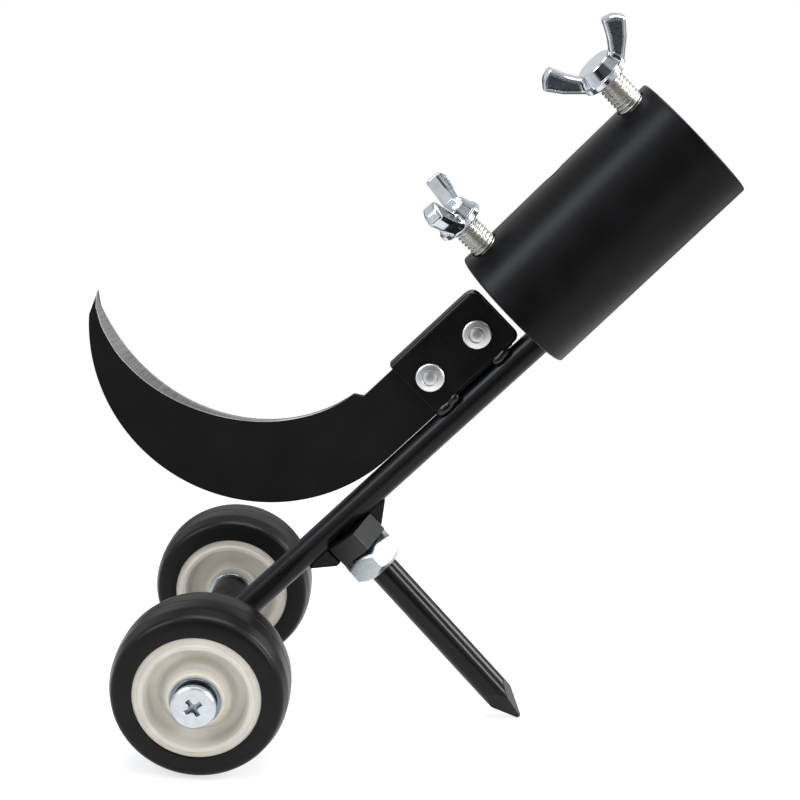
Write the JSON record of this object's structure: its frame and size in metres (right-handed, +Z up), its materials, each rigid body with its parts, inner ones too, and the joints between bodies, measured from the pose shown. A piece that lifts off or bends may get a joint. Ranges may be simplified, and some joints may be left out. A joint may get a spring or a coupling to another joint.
{
  "type": "root weeder",
  "caption": "Head of a long handled weeder: a sickle blade, small wheels and a pointed prop on a rod, under a round handle socket with wing bolts.",
  "frame": {"origin": "under the middle of the bounding box, on the floor that the wheels and the spike's tip rest on", "axes": "+Z up; +X from the blade's tip towards the handle socket; +Y along the axle, away from the near wheel, so that the blade's ground edge faces -Y"},
  "size_m": [0.1824, 0.1062, 0.2103],
  "materials": {
    "black_paint": "satin black powder coat on steel",
    "blade_coat": "matte black coat on spring steel, with a bare ground bevel",
    "zinc_plate": "bright zinc plate",
    "rivet_steel": "plain bright steel",
    "spring_steel": "dark oiled spring steel",
    "tyre_rubber": "smooth black rubber",
    "cream_plastic": "moulded cream plastic"
  },
  "bodies": {
    "frame": {"axle_bar": "black_paint", "axle_weld": "black_paint", "back_bracket_weld": "black_paint", "blade": "blade_coat", "blade_bracket": "black_paint", "far_inner_washer": "zinc_plate", "far_lock_washer": "spring_steel", "far_outer_washer": "zinc_plate", "far_sleeve": "zinc_plate", "far_wheel_screw": "zinc_plate", "lower_bracket_weld": "black_paint", "lower_gusset": "black_paint", "lower_rivet": "rivet_steel", "main_rod": "black_paint", "near_inner_washer": "zinc_plate", "near_lock_washer": "spring_steel", "near_outer_washer": "zinc_plate", "near_sleeve": "zinc_plate", "near_wheel_screw": "zinc_plate", "socket_tube": "black_paint", "socket_weld": "black_paint", "spike_coupling": "black_paint", "upper_bracket_weld": "black_paint", "upper_gusset": "black_paint", "upper_rivet": "rivet_steel"},
    "near_wheel": {"near_tyre": "tyre_rubber", "near_hub": "cream_plastic"},
    "far_wheel": {"far_tyre": "tyre_rubber", "far_hub": "cream_plastic"},
    "upper_screw": {"upper_wing_screw": "zinc_plate"},
    "upper_head": {"upper_wing_head": "zinc_plate"},
    "lower_screw": {"lower_wing_screw": "zinc_plate"},
    "lower_head": {"lower_wing_head": "zinc_plate"},
    "spike": {"spike": "black_paint"},
    "nut": {"jam_nut": "zinc_plate"}
  },
  "joints": [
    {"name": "near_wheel_spin", "type": "hinge", "parent": "frame", "child": "near_wheel", "pos_m": [-0.0531, -0.0375, 0.025], "axis": [0, 1, 0], "continuous": true},
    {"name": "far_wheel_spin", "type": "hinge", "parent": "frame", "child": "far_wheel", "pos_m": [-0.0531, 0.0375, 0.025], "axis": [0, 1, 0], "continuous": true},
    {"name": "upper_screw_travel", "type": "slide", "parent": "frame", "child": "upper_screw", "axis": [-0.7202, -0.1736, 0.6716], "range_m": [-0.00875, 0.0075]},
    {"name": "upper_head_turn", "type": "hinge", "parent": "upper_screw", "child": "upper_head", "pos_m": [0.05098, -0.00516, 0.19265], "axis": [-0.7202, -0.1736, 0.6716], "range_deg": [-2521, 2161]},
    {"name": "lower_screw_travel", "type": "slide", "parent": "frame", "child": "lower_screw", "axis": [-0.7202, -0.1736, 0.6716], "range_m": [-0.0075, 0.00875]},
    {"name": "lower_head_turn", "type": "hinge", "parent": "lower_screw", "child": "lower_head", "pos_m": [0.01398, -0.005, 0.15168], "axis": [-0.7202, -0.1736, 0.6716], "range_deg": [-2161, 2521]},
    {"name": "spike_travel", "type": "slide", "parent": "frame", "child": "spike", "axis": [0.682, 0, -0.7314], "range_m": [0, 0.003]},
    {"name": "nut_turn", "type": "hinge", "parent": "spike", "child": "nut", "pos_m": [-0.00795, 0, 0.0507], "axis": [0.682, 0, -0.7314], "range_deg": [0, 721]}
  ],
  "couplings": [
    {"joint": "upper_head_turn", "follows": "upper_screw_travel", "rad_per_m": 5026.5},
    {"joint": "lower_head_turn", "follows": "lower_screw_travel", "rad_per_m": 5026.5},
    {"joint": "nut_turn", "follows": "spike_travel", "rad_per_m": 4188.8}
  ]
}
